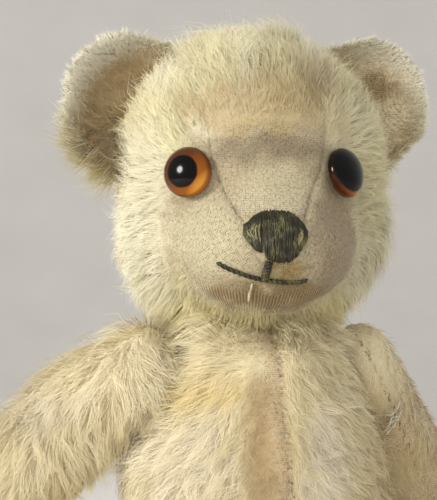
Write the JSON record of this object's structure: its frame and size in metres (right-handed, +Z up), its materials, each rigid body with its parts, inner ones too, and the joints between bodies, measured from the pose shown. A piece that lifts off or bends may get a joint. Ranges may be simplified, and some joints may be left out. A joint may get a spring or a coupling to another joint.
{
  "type": "teddy bear",
  "caption": "Jointed teddy bear of worn pale mohair, sitting, with glass eyes, a stitched nose and mouth, a bald muzzle, and a head, arms and legs that turn on discs.",
  "frame": {"origin": "on the flat of the seat, straight under the neck's axis", "axes": "+Z up along the neck's axis, -Y the way the bear's chest faces, +X towards the bear's left side"},
  "size_m": [0.1878, 0.1956, 0.2374],
  "materials": {
    "mohair": "worn pile on a woven backing",
    "felt": "worn felt",
    "stuffing": "wood wool",
    "eye_glass": "polished, amber behind clear",
    "thread": "waxed cotton thread",
    "steel": "dull",
    "hardboard": "pressed board"
  },
  "bodies": {
    "torso": {"torso_left": "mohair", "torso_right": "mohair", "torso_stuffing": "stuffing", "neck_disc_torso": "hardboard", "neck_washer_torso": "steel", "shoulder_left_disc_torso": "hardboard", "shoulder_left_washer_torso": "steel", "shoulder_right_disc_torso": "hardboard", "shoulder_right_washer_torso": "steel", "hip_left_disc_torso": "hardboard", "hip_left_washer_torso": "steel", "hip_right_disc_torso": "hardboard", "hip_right_washer_torso": "steel"},
    "head": {"head_gusset": "mohair", "head_side_left": "mohair", "head_side_right": "mohair", "ear_left_front": "mohair", "ear_left_back": "mohair", "eye_left": "eye_glass", "eye_wire_left": "steel", "ear_right_front": "mohair", "ear_right_back": "mohair", "eye_right": "eye_glass", "eye_wire_right": "steel", "head_stuffing": "stuffing", "nose_stitches": "thread", "mouth_stitch": "thread", "philtrum_stitch": "thread", "neck_disc_limb": "hardboard", "neck_washer_limb": "steel", "neck_pin": "steel"},
    "arm_left": {"arm_left_outer": "mohair", "arm_left_inner": "mohair", "arm_left_stuffing": "stuffing", "paw_pad_left": "felt", "shoulder_left_disc_limb": "hardboard", "shoulder_left_washer_limb": "steel", "shoulder_left_pin": "steel"},
    "arm_right": {"arm_right_outer": "mohair", "arm_right_inner": "mohair", "arm_right_stuffing": "stuffing", "paw_pad_right": "felt", "shoulder_right_disc_limb": "hardboard", "shoulder_right_washer_limb": "steel", "shoulder_right_pin": "steel"},
    "leg_left": {"leg_left_outer": "mohair", "leg_left_inner": "mohair", "leg_left_stuffing": "stuffing", "foot_pad_left": "felt", "hip_left_disc_limb": "hardboard", "hip_left_washer_limb": "steel", "hip_left_pin": "steel"},
    "leg_right": {"leg_right_outer": "mohair", "leg_right_inner": "mohair", "leg_right_stuffing": "stuffing", "foot_pad_right": "felt", "hip_right_disc_limb": "hardboard", "hip_right_washer_limb": "steel", "hip_right_pin": "steel"}
  },
  "joints": [
    {"name": "neck", "type": "hinge", "parent": "torso", "child": "head", "pos_m": [0, 0, 0.1504], "axis": [0, 0, 1], "continuous": true},
    {"name": "shoulder_left", "type": "hinge", "parent": "torso", "child": "arm_left", "pos_m": [0.03035, 0, 0.1285], "axis": [-0.9063, 0, -0.4226], "range_deg": [-60, 125]},
    {"name": "shoulder_right", "type": "hinge", "parent": "torso", "child": "arm_right", "pos_m": [-0.03035, 0, 0.1285], "axis": [-0.866, 0, 0.5], "range_deg": [-50, 140]},
    {"name": "hip_left", "type": "hinge", "parent": "torso", "child": "leg_left", "pos_m": [0.03846, 0.002, 0.0255], "axis": [-0.9925, -0.1219, 0], "range_deg": [-100, 40]},
    {"name": "hip_right", "type": "hinge", "parent": "torso", "child": "leg_right", "pos_m": [-0.03846, 0.002, 0.0255], "axis": [-0.9925, 0.1219, 0], "range_deg": [-100, 40]}
  ]
}
